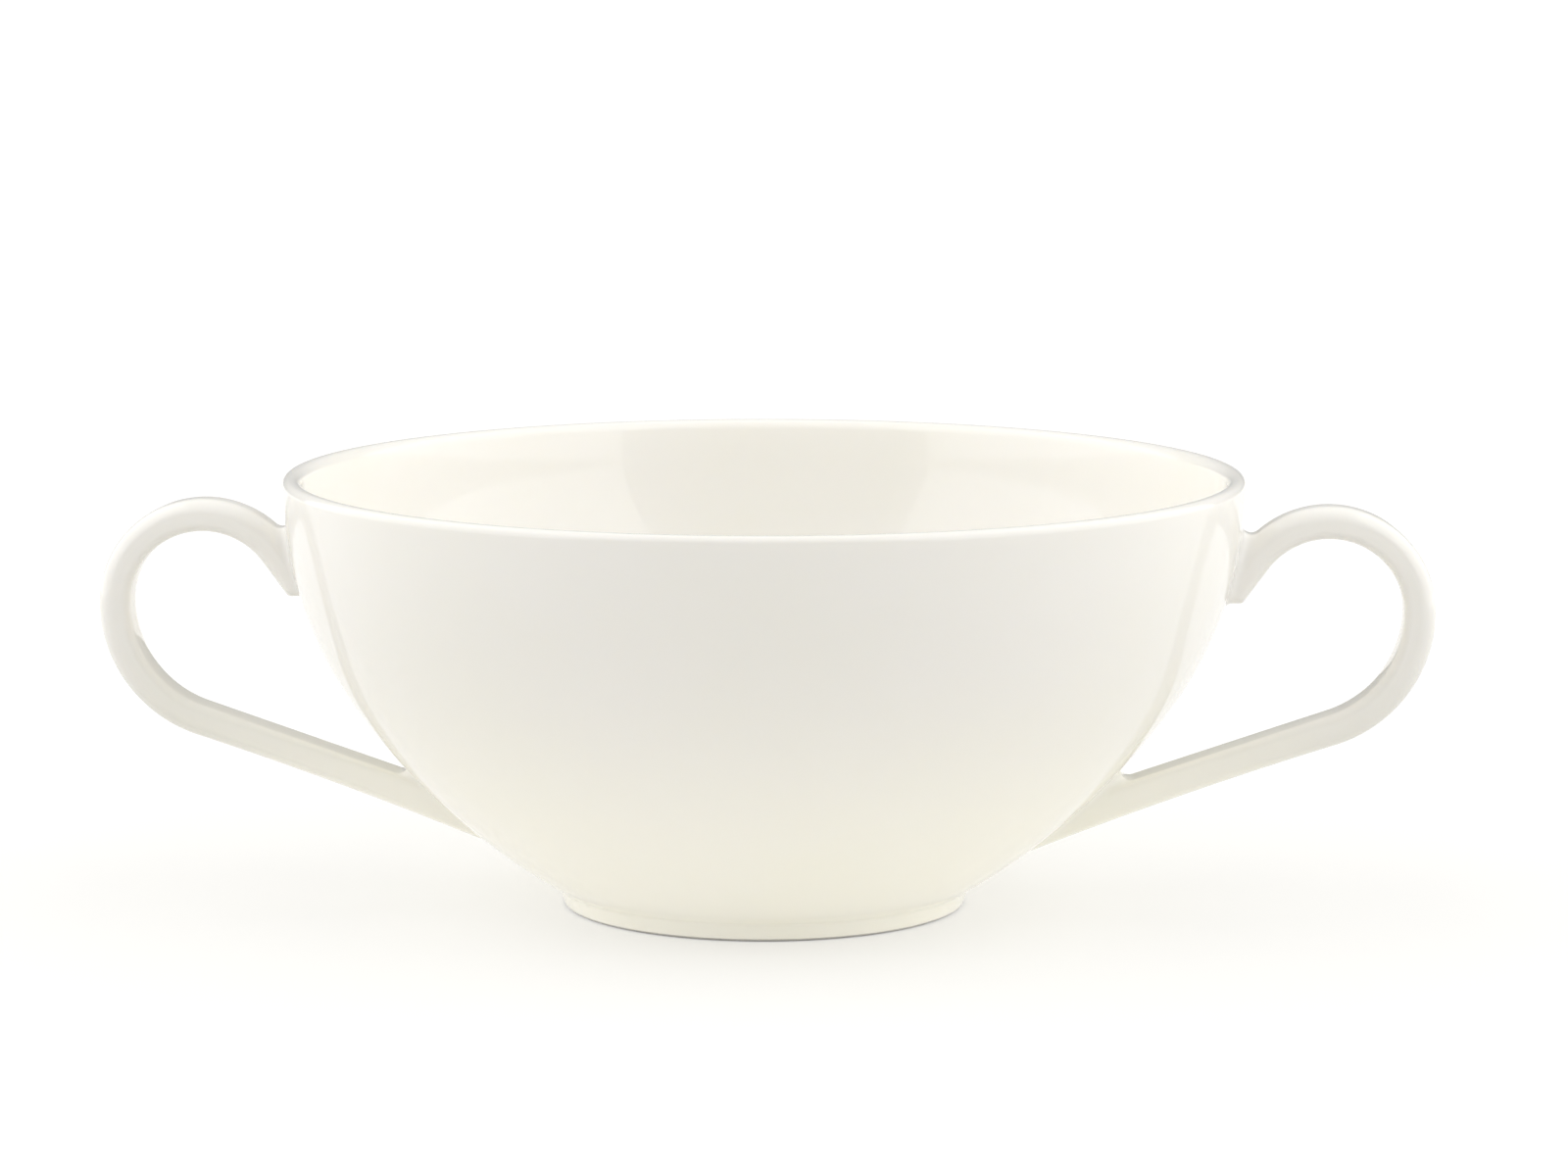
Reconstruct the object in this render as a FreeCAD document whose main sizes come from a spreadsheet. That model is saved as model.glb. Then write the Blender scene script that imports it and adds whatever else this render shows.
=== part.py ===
import FreeCAD, Part
import math
import os
import Sketcher
from FreeCAD import Vector

# Two-handled bouillon cup of thin glazed china, cast as one piece.
# The cup stands on its foot ring at z = 0, its axis is Z and the handles lie along X.
# Lengths are in millimetres and angles in degrees.
sizes = {
    # bowl, outside
    "rim_radius": 64.0,
    "rim_height": 58.0,
    "flare_angle": 4.5,        # lean of the upper wall, away from upright
    "upper_wall": 5.8,         # height of the straight wall under the rim, above the shoulder
    "shoulder_radius": 49.0,
    "bowl_radius": 90.0,
    # foot ring
    "foot_radius": 26.8,
    "foot_height": 2.4,
    "foot_taper": 0.7,         # how much wider the ring is at its top
    "foot_width": 3.0,
    "foot_bevel": 0.5,
    "foot_recess": 2.0,
    # bowl, inside
    "wall_thickness": 2.6,
    "lip_outer_round": 1.0,
    "lip_inner_round": 1.4,
    "floor_thickness": 3.6,
    "well_radius": 24.0,       # round between the inner wall and the floor
    # handle, seen from the side
    "strap_width": 6.6,
    "strap_thickness": 4.3,
    "arch_radius": 14.2,       # upper round of the loop, outer side
    "heel_radius": 18.7,       # outer and lower round of the loop
    "tail_radius": 600.0,      # long sweep of the tail towards the foot
    "loop_drop": 18.1,         # loop centre below the rim
    "root_sink": 3.2,          # how far the loop runs into the rim's cylinder
    "root_cut": 0.2,           # the arch stops this far short of its innermost point
    "tongue_reach": 16.9,      # lower end of the upper root, below the rim
    "tongue_tip_in": 0.4,      # tip of that root, inside the rim's cylinder
    "tail_sink": 0.8,          # how deep the tail's root lies in the bowl's wall
    "tail_end_height": 5.2,    # lower end of that root
    "tail_top_height": 15.0,   # upper end of that root
    "strap_outer_round": 2.0,
    "strap_inner_round": 1.1,
}

doc = FreeCAD.newDocument("bouillon_cup")
sheet = doc.addObject("Spreadsheet::Sheet", "Sizes")
for row, (alias, value) in enumerate(sizes.items(), start=1):
    sheet.set(f"A{row}", alias)
    sheet.set(f"B{row}", str(value))
    sheet.setAlias(f"B{row}", alias)
doc.recompute()


def size(name):
    return float(sheet.get(name))


body = doc.addObject("PartDesign::Body", "BouillonCup")
body.Label = "bouillon_cup"


def originPart(role):
    return next(part for part in body.Origin.OriginFeatures if part.Role == role)


def uprightSketch(name, plane):
    """A sketch on an upright plane: its x is the distance from the cup's axis and its y is the height."""
    sketch = body.newObject("Sketcher::SketchObject", name)
    sketch.AttachmentSupport = [(originPart(plane), "")]
    sketch.MapMode = "FlatFace"
    return sketch


START, END, CENTRE = 1, 2, 3
ORIGIN = (-1, 1)


def line(sketch, first, last):
    return sketch.addGeometry(Part.LineSegment(Vector(*first), Vector(*last)), False)


def arc(sketch, centre, radius, first, last):
    """An arc that runs anticlockwise between two directions in degrees."""
    circle = Part.Circle(Vector(*centre), Vector(0, 0, 1), radius)
    return sketch.addGeometry(Part.ArcOfCircle(circle, math.radians(first), math.radians(last)), False)


def drive(sketch, name, expression, *terms):
    """A named dimension that follows an expression on the sheet."""
    index = sketch.addConstraint(Sketcher.Constraint(*terms))
    sketch.renameConstraint(index, name)
    sketch.setExpression("Constraints." + name, expression)


def measure(sketch, name, *terms):
    """A named dimension that only reads the outline, for another sketch to follow."""
    index = sketch.addConstraint(Sketcher.Constraint(*terms))
    sketch.renameConstraint(index, name)
    sketch.setDriving(index, False)


def hold(sketch, *terms):
    sketch.addConstraint(Sketcher.Constraint(*terms))


def polar(centre, radius, angle):
    return (
        centre[0] + radius * math.cos(math.radians(angle)),
        centre[1] + radius * math.sin(math.radians(angle)),
    )


def direction(start, end):
    return math.degrees(math.atan2(end[1] - start[1], end[0] - start[0]))


def atHeight(centre, radius, height):
    """The outer point of a circle at a height."""
    return (centre[0] + math.sqrt(radius ** 2 - (height - centre[1]) ** 2), height)


def corner(opposite, first, second):
    """The angle of a triangle between two of its sides, from its three sides."""
    return math.degrees(math.acos((first ** 2 + second ** 2 - opposite ** 2) / (2 * first * second)))


def upperWall():
    """Where the outer form's arcs start: the straight wall under the rim leans in, then the shoulder arc
    turns it until the bowl arc can run on to the top of the foot ring without a corner."""
    flare = size("flare_angle")
    lean = size("upper_wall") * math.tan(math.radians(flare))
    shoulder = (size("rim_radius") - lean, size("rim_height") - size("upper_wall"))
    shoulderCentre = polar(shoulder, size("shoulder_radius"), 180 - flare)
    footTop = (size("foot_radius") + size("foot_taper"), size("foot_height"))
    across = math.dist(shoulderCentre, footTop)
    reach = size("bowl_radius") - size("shoulder_radius")
    towards = direction(shoulderCentre, footTop)
    turn = 180 - (towards - corner(size("bowl_radius"), reach, across)) % 360
    bowlCentre = polar(shoulderCentre, reach, 180 - turn)
    return {
        "shoulder": shoulder,
        "shoulderCentre": shoulderCentre,
        "turn": turn,
        "bowlCentre": bowlCentre,
        "footTop": footTop,
    }


def bowlOutside():
    """Half section of the cup's outer form, filled to the axis."""
    sketch = uprightSketch("BowlSection", "YZ_Plane")
    rim = (size("rim_radius"), size("rim_height"))
    foot = (size("foot_radius"), 0)
    flare = size("flare_angle")
    form = upperWall()

    axis = line(sketch, (0, rim[1]), (0, 0))
    bottom = line(sketch, (0, 0), foot)
    ring = line(sketch, foot, form["footTop"])
    footTurn = direction(form["bowlCentre"], form["footTop"])
    bowl = arc(sketch, form["bowlCentre"], size("bowl_radius"), footTurn, -form["turn"])
    shoulder = arc(sketch, form["shoulderCentre"], size("shoulder_radius"), -form["turn"], -flare)
    wall = line(sketch, form["shoulder"], rim)
    top = line(sketch, rim, (0, rim[1]))

    hold(sketch, "Coincident", axis, END, *ORIGIN)
    hold(sketch, "Coincident", axis, END, bottom, START)
    hold(sketch, "Coincident", bottom, END, ring, START)
    hold(sketch, "Coincident", ring, END, bowl, START)
    hold(sketch, "Tangent", bowl, END, shoulder, START)
    hold(sketch, "Tangent", shoulder, END, wall, START)
    hold(sketch, "Coincident", wall, END, top, START)
    hold(sketch, "Coincident", top, END, axis, START)
    hold(sketch, "Vertical", axis)
    hold(sketch, "Horizontal", bottom)
    hold(sketch, "Horizontal", top)
    drive(sketch, "rim_radius", "Sizes.rim_radius", "DistanceX", *ORIGIN, wall, END, rim[0])
    drive(sketch, "rim_height", "Sizes.rim_height", "DistanceY", *ORIGIN, wall, END, rim[1])
    drive(sketch, "foot_radius", "Sizes.foot_radius", "DistanceX", *ORIGIN, ring, START, foot[0])
    drive(sketch, "foot_top", "Sizes.foot_radius + Sizes.foot_taper",
          "DistanceX", *ORIGIN, ring, END, form["footTop"][0])
    drive(sketch, "foot_height", "Sizes.foot_height", "DistanceY", *ORIGIN, ring, END, form["footTop"][1])
    drive(sketch, "shoulder_height", "Sizes.rim_height - Sizes.upper_wall",
          "DistanceY", *ORIGIN, wall, START, form["shoulder"][1])
    drive(sketch, "shoulder_radius", "Sizes.shoulder_radius", "Radius", shoulder, size("shoulder_radius"))
    drive(sketch, "bowl_radius", "Sizes.bowl_radius", "Radius", bowl, size("bowl_radius"))
    drive(sketch, "flare", "90 deg - Sizes.flare_angle * 1 deg", "Angle", wall, math.radians(90 - flare))
    measure(sketch, "shoulder_centre_out", "DistanceX", *ORIGIN, shoulder, CENTRE, form["shoulderCentre"][0])
    measure(sketch, "shoulder_centre_height",
            "DistanceY", *ORIGIN, shoulder, CENTRE, form["shoulderCentre"][1])
    measure(sketch, "bowl_centre_out", "DistanceX", *ORIGIN, bowl, CENTRE, form["bowlCentre"][0])
    measure(sketch, "bowl_centre_height", "DistanceY", *ORIGIN, bowl, CENTRE, form["bowlCentre"][1])
    return sketch


def turned(kind, name, sketch):
    """A full turn of a section about the cup's axis: a Revolution adds and a Groove cuts."""
    feature = body.newObject("PartDesign::" + kind, name)
    feature.Profile = sketch
    feature.ReferenceAxis = (sketch, ["V_Axis"])
    feature.Angle = 360
    return feature


def handleSide():
    """Outline of one handle from the side: an arch, a heel and a long tail, with both roots inside the
    bowl. The heel turns until the tail's arc meets its end, and straight faces touch the inner arcs."""
    sketch = uprightSketch("HandleOutline", "XZ_Plane")
    arch = size("arch_radius")
    heel = size("heel_radius")
    innerArchRadius = arch - size("strap_thickness")
    innerHeelRadius = heel - size("strap_thickness")
    archCentre = (size("rim_radius") + arch - size("root_sink"), size("rim_height") - size("loop_drop"))
    heelCentre = (archCentre[0] + arch - heel, archCentre[1])
    bowlCentre = upperWall()["bowlCentre"]
    sunkRadius = size("bowl_radius") - size("tail_sink")
    tailEnd = atHeight(bowlCentre, sunkRadius, size("tail_end_height"))
    tailTop = atHeight(bowlCentre, sunkRadius, size("tail_top_height"))
    tongueTip = (size("rim_radius") - size("tongue_tip_in"), size("rim_height") - size("tongue_reach"))

    rootTurn = 180 - math.degrees(math.acos(1 - size("root_cut") / arch))
    outerRoot = polar(archCentre, arch, rootTurn)
    tongueEnd = (outerRoot[0], tongueTip[1])
    tongueTurn = direction(archCentre, tongueTip) - math.degrees(
        math.acos(innerArchRadius / math.dist(archCentre, tongueTip)))
    tailReach = heel + size("tail_radius")
    heelTurn = direction(heelCentre, tailEnd) + corner(
        size("tail_radius"), tailReach, math.dist(heelCentre, tailEnd))
    tailCentre = polar(heelCentre, tailReach, heelTurn)
    innerHeelTurn = direction(heelCentre, tailTop) + math.degrees(
        math.acos(innerHeelRadius / math.dist(heelCentre, tailTop)))

    sunkWall = sketch.addGeometry(Part.Circle(Vector(*bowlCentre), Vector(0, 0, 1), sunkRadius), True)
    outerArch = arc(sketch, archCentre, arch, 0, rootTurn)
    outerHeel = arc(sketch, heelCentre, heel, heelTurn, 0)
    tail = arc(sketch, tailCentre, size("tail_radius"), 180 + heelTurn, direction(tailCentre, tailEnd))
    tailRoot = line(sketch, tailEnd, tailTop)
    tailFace = line(sketch, tailTop, polar(heelCentre, innerHeelRadius, innerHeelTurn))
    innerHeel = arc(sketch, heelCentre, innerHeelRadius, innerHeelTurn, 0)
    innerArch = arc(sketch, archCentre, innerArchRadius, 0, tongueTurn)
    tongueFace = line(sketch, polar(archCentre, innerArchRadius, tongueTurn), tongueTip)
    tongue = line(sketch, tongueTip, tongueEnd)
    root = line(sketch, tongueEnd, outerRoot)

    hold(sketch, "Tangent", outerArch, START, outerHeel, END)
    hold(sketch, "Tangent", outerHeel, START, tail, START)
    hold(sketch, "Coincident", tail, END, tailRoot, START)
    hold(sketch, "Coincident", tailRoot, END, tailFace, START)
    hold(sketch, "Tangent", tailFace, END, innerHeel, START)
    hold(sketch, "Tangent", innerHeel, END, innerArch, START)
    hold(sketch, "Tangent", innerArch, END, tongueFace, START)
    hold(sketch, "Coincident", tongueFace, END, tongue, START)
    hold(sketch, "Coincident", tongue, END, root, START)
    hold(sketch, "Coincident", root, END, outerArch, END)
    hold(sketch, "Coincident", innerArch, CENTRE, outerArch, CENTRE)
    hold(sketch, "Coincident", innerHeel, CENTRE, outerHeel, CENTRE)
    hold(sketch, "Horizontal", tongue)
    hold(sketch, "Vertical", root)
    hold(sketch, "Horizontal", outerArch, START, outerArch, CENTRE)
    hold(sketch, "PointOnObject", tail, END, sunkWall)
    hold(sketch, "PointOnObject", tailRoot, END, sunkWall)
    drive(sketch, "arch_radius", "Sizes.arch_radius", "Radius", outerArch, arch)
    drive(sketch, "heel_radius", "Sizes.heel_radius", "Radius", outerHeel, heel)
    drive(sketch, "tail_radius", "Sizes.tail_radius", "Radius", tail, size("tail_radius"))
    drive(sketch, "inner_arch", "Sizes.arch_radius - Sizes.strap_thickness",
          "Radius", innerArch, innerArchRadius)
    drive(sketch, "loop_centre", "Sizes.rim_radius + Sizes.arch_radius - Sizes.root_sink",
          "DistanceX", *ORIGIN, outerArch, CENTRE, archCentre[0])
    drive(sketch, "loop_height", "Sizes.rim_height - Sizes.loop_drop",
          "DistanceY", *ORIGIN, outerArch, CENTRE, archCentre[1])
    drive(sketch, "tongue_height", "Sizes.rim_height - Sizes.tongue_reach",
          "DistanceY", *ORIGIN, tongue, START, tongueTip[1])
    drive(sketch, "tongue_tip", "Sizes.rim_radius - Sizes.tongue_tip_in",
          "DistanceX", *ORIGIN, tongue, START, tongueTip[0])
    drive(sketch, "root_reach", "Sizes.rim_radius - Sizes.root_sink + Sizes.root_cut",
          "DistanceX", *ORIGIN, root, END, outerRoot[0])
    drive(sketch, "sunk_radius", "Sizes.bowl_radius - Sizes.tail_sink", "Radius", sunkWall, sunkRadius)
    drive(sketch, "bowl_centre_out", "BowlSection.Constraints.bowl_centre_out",
          "DistanceX", *ORIGIN, sunkWall, CENTRE, bowlCentre[0])
    drive(sketch, "bowl_centre_height", "BowlSection.Constraints.bowl_centre_height",
          "DistanceY", *ORIGIN, sunkWall, CENTRE, bowlCentre[1])
    drive(sketch, "tail_end_height", "Sizes.tail_end_height",
          "DistanceY", *ORIGIN, tail, END, tailEnd[1])
    drive(sketch, "tail_top_height", "Sizes.tail_top_height",
          "DistanceY", *ORIGIN, tailRoot, END, tailTop[1])
    return sketch


def bowlInside():
    """Half section of the space inside the cup: the outer form's arcs, one wall thickness further in."""
    sketch = uprightSketch("CavitySection", "YZ_Plane")
    thickness = size("wall_thickness")
    flare = size("flare_angle")
    outer = upperWall()
    shoulderCentre = outer["shoulderCentre"]
    bowlCentre = outer["bowlCentre"]
    bowlRadius = size("bowl_radius") - thickness
    shoulderRadius = size("shoulder_radius") - thickness
    shoulder = polar(shoulderCentre, shoulderRadius, -flare)
    rise = size("rim_height") - shoulder[1]
    lip = (shoulder[0] + rise * math.tan(math.radians(flare)), size("rim_height"))
    well = size("well_radius")
    floorHeight = size("foot_recess") + size("floor_thickness")
    wellReach = bowlRadius - well
    wellDrop = bowlCentre[1] - floorHeight - well
    wellTurn = -math.degrees(math.asin(wellDrop / wellReach))
    wellCentre = polar(bowlCentre, wellReach, wellTurn)

    axis = line(sketch, (0, lip[1]), (0, floorHeight))
    floor = line(sketch, (0, floorHeight), (wellCentre[0], floorHeight))
    corner = arc(sketch, wellCentre, well, -90, wellTurn)
    bowl = arc(sketch, bowlCentre, bowlRadius, wellTurn, -outer["turn"])
    shoulderArc = arc(sketch, shoulderCentre, shoulderRadius, -outer["turn"], -flare)
    wall = line(sketch, shoulder, lip)
    top = line(sketch, lip, (0, lip[1]))

    hold(sketch, "Coincident", axis, END, floor, START)
    hold(sketch, "Tangent", floor, END, corner, START)
    hold(sketch, "Tangent", corner, END, bowl, START)
    hold(sketch, "Tangent", bowl, END, shoulderArc, START)
    hold(sketch, "Tangent", shoulderArc, END, wall, START)
    hold(sketch, "Coincident", wall, END, top, START)
    hold(sketch, "Coincident", top, END, axis, START)
    hold(sketch, "PointOnObject", axis, START, -2)
    hold(sketch, "Vertical", axis)
    hold(sketch, "Horizontal", floor)
    hold(sketch, "Horizontal", top)
    drive(sketch, "rim_height", "Sizes.rim_height", "DistanceY", *ORIGIN, wall, END, lip[1])
    drive(sketch, "flare", "90 deg - Sizes.flare_angle * 1 deg", "Angle", wall, math.radians(90 - flare))
    drive(sketch, "shoulder_radius", "Sizes.shoulder_radius - Sizes.wall_thickness",
          "Radius", shoulderArc, shoulderRadius)
    drive(sketch, "shoulder_centre_out", "BowlSection.Constraints.shoulder_centre_out",
          "DistanceX", *ORIGIN, shoulderArc, CENTRE, shoulderCentre[0])
    drive(sketch, "shoulder_centre_height", "BowlSection.Constraints.shoulder_centre_height",
          "DistanceY", *ORIGIN, shoulderArc, CENTRE, shoulderCentre[1])
    drive(sketch, "bowl_radius", "Sizes.bowl_radius - Sizes.wall_thickness", "Radius", bowl, bowlRadius)
    drive(sketch, "bowl_centre_height", "BowlSection.Constraints.bowl_centre_height",
          "DistanceY", *ORIGIN, bowl, CENTRE, bowlCentre[1])
    drive(sketch, "well_radius", "Sizes.well_radius", "Radius", corner, well)
    drive(sketch, "floor_height", "Sizes.foot_recess + Sizes.floor_thickness",
          "DistanceY", *ORIGIN, floor, START, floorHeight)
    return sketch


def recessSection():
    """Half section of the hollow under the cup, inside the foot ring."""
    sketch = uprightSketch("RecessSection", "YZ_Plane")
    edge = size("foot_radius") - size("foot_width")
    depth = size("foot_recess")
    bottom = line(sketch, (0, 0), (edge, 0))
    side = line(sketch, (edge, 0), (edge, depth))
    roof = line(sketch, (edge, depth), (0, depth))
    axis = line(sketch, (0, depth), (0, 0))
    hold(sketch, "Coincident", bottom, START, *ORIGIN)
    hold(sketch, "Coincident", bottom, END, side, START)
    hold(sketch, "Coincident", side, END, roof, START)
    hold(sketch, "Coincident", roof, END, axis, START)
    hold(sketch, "Coincident", axis, END, bottom, START)
    hold(sketch, "Horizontal", bottom)
    hold(sketch, "Horizontal", roof)
    hold(sketch, "Vertical", side)
    hold(sketch, "Vertical", axis)
    drive(sketch, "inner_radius", "Sizes.foot_radius - Sizes.foot_width",
          "DistanceX", *ORIGIN, bottom, END, edge)
    drive(sketch, "recess", "Sizes.foot_recess", "DistanceY", *ORIGIN, side, END, depth)
    return sketch


def dressed(kind, name, base, edges, alias):
    """A Fillet or a Chamfer on the edges whose test holds in the base feature's shape."""
    names = [f"Edge{number}" for number, edge in enumerate(base.Shape.Edges, start=1) if edges(edge)]
    if not names:
        raise RuntimeError(f"{name} found no edges")
    feature = body.newObject("PartDesign::" + kind, name)
    feature.Base = (base, names)
    extent = "Radius" if kind == "Fillet" else "Size"
    feature.setExpression(extent, f"Sizes.{alias} * 1 mm")
    doc.recompute()
    return feature


def near(first, second):
    return abs(first - second) < 1e-4


def onStrapSide(edge):
    """An edge that lies in one of the strap's two flat sides."""
    box = edge.BoundBox
    return box.YLength < 1e-4 and near(abs(box.YMin), size("strap_width") / 2)


def radiusOf(edge):
    return getattr(edge.Curve, "Radius", 0)


def onOuterFace(edge):
    radii = (size("arch_radius"), size("heel_radius"), size("tail_radius"))
    return onStrapSide(edge) and any(near(radiusOf(edge), radius) for radius in radii)


def onInnerFace(edge):
    thickness = size("strap_thickness")
    radii = (size("arch_radius") - thickness, size("heel_radius") - thickness)
    heelBottom = size("rim_height") - size("loop_drop") - radii[1]
    onRound = any(near(radiusOf(edge), radius) for radius in radii)
    straight = radiusOf(edge) == 0 and edge.Length > size("strap_thickness")
    onTail = straight and edge.BoundBox.ZMin < heelBottom and edge.BoundBox.XMax > size("rim_radius")
    return onStrapSide(edge) and (onRound or onTail)


def onCircle(radius, height):
    def test(edge):
        box = edge.BoundBox
        level = near(box.ZMin, height) and near(box.ZMax, height)
        return level and near(radiusOf(edge), radius)
    return test


bowlSection = bowlOutside()
doc.recompute()
handle = body.newObject("PartDesign::Pad", "Handle")
handle.Profile = handleSide()
handle.SideType = "Symmetric"
handle.setExpression("Length", "Sizes.strap_width * 1 mm")
doc.recompute()
outerRound = dressed("Fillet", "OuterRound", handle, onOuterFace, "strap_outer_round")
innerRound = dressed("Fillet", "InnerRound", outerRound, onInnerFace, "strap_inner_round")

solidBowl = turned("Revolution", "SolidBowl", bowlSection)
doc.recompute()
bothHandles = body.newObject("PartDesign::Mirrored", "BothHandles")
bothHandles.TransformMode = "Whole shape"
bothHandles.MirrorPlane = (originPart("YZ_Plane"), [""])
body.Tip = bothHandles
doc.recompute()
cavity = turned("Groove", "Cavity", bowlInside())
doc.recompute()
recess = turned("Groove", "FootRecess", recessSection())
doc.recompute()
for cut, base in ((cavity, bothHandles), (recess, cavity)):
    if cut.Shape.Volume >= base.Shape.Volume:
        raise RuntimeError(f"{cut.Name} takes nothing away")

outerLip = onCircle(size("rim_radius"), size("rim_height"))
wallAcross = size("wall_thickness") / math.cos(math.radians(size("flare_angle")))
innerLip = onCircle(size("rim_radius") - wallAcross, size("rim_height"))
footEdges = (onCircle(size("foot_radius"), 0), onCircle(size("foot_radius") - size("foot_width"), 0))


def onFootRing(edge):
    return any(onEdge(edge) for onEdge in footEdges)


outerLipRound = dressed("Fillet", "OuterLipRound", recess, outerLip, "lip_outer_round")
innerLipRound = dressed("Fillet", "InnerLipRound", outerLipRound, innerLip, "lip_inner_round")
footBevel = dressed("Chamfer", "FootBevel", innerLipRound, onFootRing, "foot_bevel")
body.Tip = footBevel
doc.recompute()

for item in doc.Objects:
    if "Invalid" in item.State or "Error" in item.State:
        raise RuntimeError(f"{item.Name} did not build: {item.State}")
cup = body.Shape
if cup.isNull() or not cup.isValid() or len(cup.Solids) != 1:
    raise RuntimeError("the cup is not one valid solid")

os.makedirs("parts", exist_ok=True)
cup.exportStep("parts/" + body.Label + ".step")
box = cup.BoundBox
print(f"{body.Label}: {box.XLength:.2f} x {box.YLength:.2f} x {box.ZLength:.2f} mm,"
      f" {cup.Volume / 1000:.1f} cubic centimetres, {len(cup.Faces)} faces")
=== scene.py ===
import math

import bpy
import numpy as np
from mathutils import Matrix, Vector


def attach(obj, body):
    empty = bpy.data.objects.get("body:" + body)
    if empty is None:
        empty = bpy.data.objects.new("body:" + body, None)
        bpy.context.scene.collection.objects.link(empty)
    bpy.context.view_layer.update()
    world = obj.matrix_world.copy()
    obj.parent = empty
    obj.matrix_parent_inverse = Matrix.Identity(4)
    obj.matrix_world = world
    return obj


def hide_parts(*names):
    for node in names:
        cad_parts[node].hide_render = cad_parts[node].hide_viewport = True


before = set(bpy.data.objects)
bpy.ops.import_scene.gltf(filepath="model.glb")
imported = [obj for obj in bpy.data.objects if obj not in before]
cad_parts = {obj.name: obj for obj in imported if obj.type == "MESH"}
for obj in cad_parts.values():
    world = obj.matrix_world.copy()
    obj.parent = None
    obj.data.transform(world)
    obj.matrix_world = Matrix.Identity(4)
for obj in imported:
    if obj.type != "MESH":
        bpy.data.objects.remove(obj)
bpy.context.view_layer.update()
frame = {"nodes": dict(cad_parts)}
print("packed frame:", ", ".join(frame["nodes"]))


# Node trees

class Wire:
    # an output socket: arithmetic on it adds Math nodes
    def __init__(self, graph, node, socket):
        self.graph = graph
        self.node = node
        self.socket = socket

    def also(self, name):
        return Wire(self.graph, self.node, self.node.outputs[name])

    def maths(self, operation, *values):
        return self.graph.add("ShaderNodeMath", {"operation": operation}, dict(enumerate(values)))

    def __add__(self, other):
        return self.maths("ADD", self, other)

    def __radd__(self, other):
        return self.maths("ADD", other, self)

    def __sub__(self, other):
        return self.maths("SUBTRACT", self, other)

    def __rsub__(self, other):
        return self.maths("SUBTRACT", other, self)

    def __mul__(self, other):
        return self.maths("MULTIPLY", self, other)

    def __rmul__(self, other):
        return self.maths("MULTIPLY", other, self)

    def __truediv__(self, other):
        return self.maths("DIVIDE", self, other)

    def __rtruediv__(self, other):
        return self.maths("DIVIDE", other, self)

    def floor(self):
        return self.maths("FLOOR", self)

    def clamped(self):
        return self.maths("MINIMUM", self.maths("MAXIMUM", self, 0.0), 1.0)

    def between(self, low, high):
        # 0 at low, 1 at high, smooth in between
        return self.graph.add(
            "ShaderNodeMapRange", {"interpolation_type": "SMOOTHSTEP"}, {0: self, 1: low, 2: high})


class Graph:
    def __init__(self, tree):
        self.tree = tree
        self.tree.nodes.clear()

    def add(self, kind, settings=None, inputs=None, output=0):
        node = self.tree.nodes.new(kind)
        for name, value in (settings or {}).items():
            setattr(node, name, value)
        for key, value in (inputs or {}).items():
            if isinstance(value, Wire):
                self.tree.links.new(value.socket, node.inputs[key])
            else:
                node.inputs[key].default_value = value
        return Wire(self, node, node.outputs[output] if len(node.outputs) else None)

    def mixed(self, factor, first, second):
        # between two colours: sockets 0, 6 and 7 are the factor and the colours, output 2 the colour
        return self.add("ShaderNodeMix", {"data_type": "RGBA"}, {0: factor, 6: first, 7: second}, 2)

    def noise(self, place, scale, detail=2.0, roughness=0.5):
        return self.add("ShaderNodeTexNoise", {}, {
            "Vector": place, "Scale": scale, "Detail": detail, "Roughness": roughness})


# Glazed ivory china, with a bare ground edge under the foot ring

glaze = {
    "ivory": (0.905, 0.887, 0.845, 1.0),
    "warmPatchesAndBounce": (0.890, 0.874, 0.788, 1.0),     # a little warmer, in soft random patches and as painted warm bounce light down the bowl
    "bounceBottom": 0.006,                      # painted warm bounce light grows down the bowl between these heights
    "bounceTop": 0.042,
    "patchShare": 0.35,                       # how much of the warmth comes in soft random patches; the rest is painted warm bounce light
    "bare": (0.800, 0.785, 0.750, 1.0),       # unglazed, ground foot
    "gloss": 0.03,                            # roughness of the clean glaze
    "smear": 0.02,                            # and what a smear adds
    "bareRoughness": 0.62,
    "bareHeight": 0.00022,                    # how far up the foot ring stays bare
    "bareFade": 0.000484,                     # and where the glaze is whole
    "patchScale": 34.0,
    "patchNoise": (3.0, 0.55),                # detail and roughness
    "patchRange": (0.35, 0.75),
    "smearScale": 167.4,
    "smearNoise": (4.0, 0.6),
    "smearRange": (0.3, 0.8),
    "waveScale": 62.0,
    "waveDepth": 0.00010,
    "waveStrength": 0.6,
    "grainScale": 5200.0,                     # on the bare edge alone
    "grainDepth": 0.00002,
    "refraction": 1.52,
    "scatter": 0.12,                          # how much light spreads inside the china
    "scatterColour": (1.0, 0.9, 0.7),
    "scatterDepth": 0.0012,
}


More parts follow.
